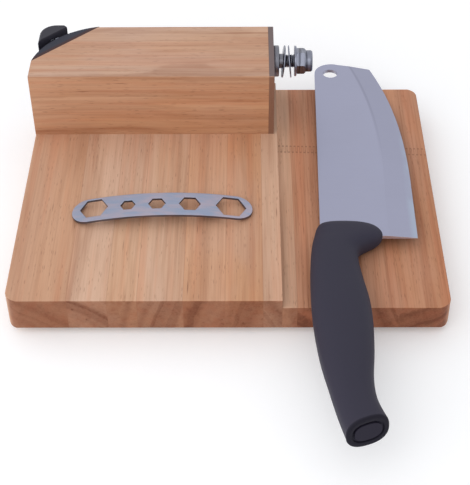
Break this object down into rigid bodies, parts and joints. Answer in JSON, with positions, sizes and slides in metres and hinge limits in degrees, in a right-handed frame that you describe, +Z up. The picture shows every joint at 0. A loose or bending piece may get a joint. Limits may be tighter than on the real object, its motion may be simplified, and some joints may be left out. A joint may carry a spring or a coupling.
{
  "type": "biltong slicer",
  "caption": "Stepped wooden board with a pivot block, a detached lever knife, a pull-through sharpener and a flat spanner.",
  "frame": {"origin": "centre of the board's underside", "axes": "+X right along the board, +Y to the back where the pivot block stands, +Z up"},
  "size_m": [0.223, 0.3007, 0.066],
  "materials": {
    "tan_wood": "oiled, fine dark pore dashes",
    "light_wood": "oiled, fine dark pore dashes",
    "red_wood": "oiled, redder than the thick side",
    "block_wood": "oiled, grain along the block",
    "rubber": "matt",
    "screw_steel": "bright",
    "plate_steel": "dull, slightly brown",
    "insert_brass": "plain",
    "stud_steel": "turned",
    "bright_zinc": "bright zinc plate",
    "nylon": "milky",
    "base_plastic": "satin blue-black",
    "guard_plastic": "charcoal",
    "carbide": "ground",
    "blade_steel": "satin, grey-lavender",
    "core_plastic": "charcoal",
    "grip_rubber": "soft charcoal grip",
    "spanner_steel": "punched, satin"
  },
  "bodies": {
    "base": {"stave_1": "tan_wood", "stave_2": "light_wood", "stave_3": "tan_wood", "stave_4": "light_wood", "stave_5": "tan_wood", "stave_6": "tan_wood", "stave_7": "light_wood", "pale_stave": "light_wood", "cutting_stave_1": "red_wood", "cutting_stave_2": "red_wood", "cutting_stave_3": "red_wood", "rubber_feet": "rubber", "foot_screws": "screw_steel", "pivot_block": "block_wood", "block_screws": "screw_steel", "end_plate": "plate_steel", "plate_screws": "screw_steel", "thread_insert": "insert_brass", "pivot_stud": "stud_steel", "sharpener_base": "base_plastic", "sharpener_guard": "guard_plastic", "cutter_holder": "guard_plastic", "cutter_front": "carbide", "cutter_back": "carbide", "base_screws": "screw_steel", "guard_screw": "screw_steel"},
    "inner_washer": {"inner_washer": "bright_zinc"},
    "outer_washer": {"outer_washer": "bright_zinc"},
    "nut_washer": {"nut_washer": "bright_zinc"},
    "nut": {"lock_nut": "bright_zinc", "nut_ring": "nylon"},
    "knife": {"knife_blade": "blade_steel", "handle_core": "core_plastic", "handle_grip": "grip_rubber"},
    "spanner": {"spanner": "spanner_steel"}
  },
  "joints": [
    {"name": "inner_washer_slide", "type": "slide", "parent": "base", "child": "inner_washer", "axis": [1, 0, 0], "range_m": [-0.0011, 0.0005]},
    {"name": "outer_washer_slide", "type": "slide", "parent": "base", "child": "outer_washer", "axis": [1, 0, 0], "range_m": [-0.0005, 0.00055]},
    {"name": "nut_washer_slide", "type": "slide", "parent": "base", "child": "nut_washer", "axis": [1, 0, 0], "range_m": [-0.0006, 0.01001]},
    {"name": "nut_turn", "type": "hinge", "parent": "nut_washer", "child": "nut", "pos_m": [0.0383, 0.077, 0.046], "axis": [1, 0, 0], "range_deg": [-172, 2880]},
    {"name": "knife_lift", "type": "slide", "parent": "base", "child": "knife", "axis": [0, 0, 1], "range_m": [0, 0.15]},
    {"name": "spanner_lift", "type": "slide", "parent": "base", "child": "spanner", "axis": [0, 0, 1], "range_m": [0, 0.1]}
  ],
  "couplings": [
    {"joint": "nut_washer_slide", "follows": "nut_turn", "m_per_rad": 0.00019894}
  ]
}
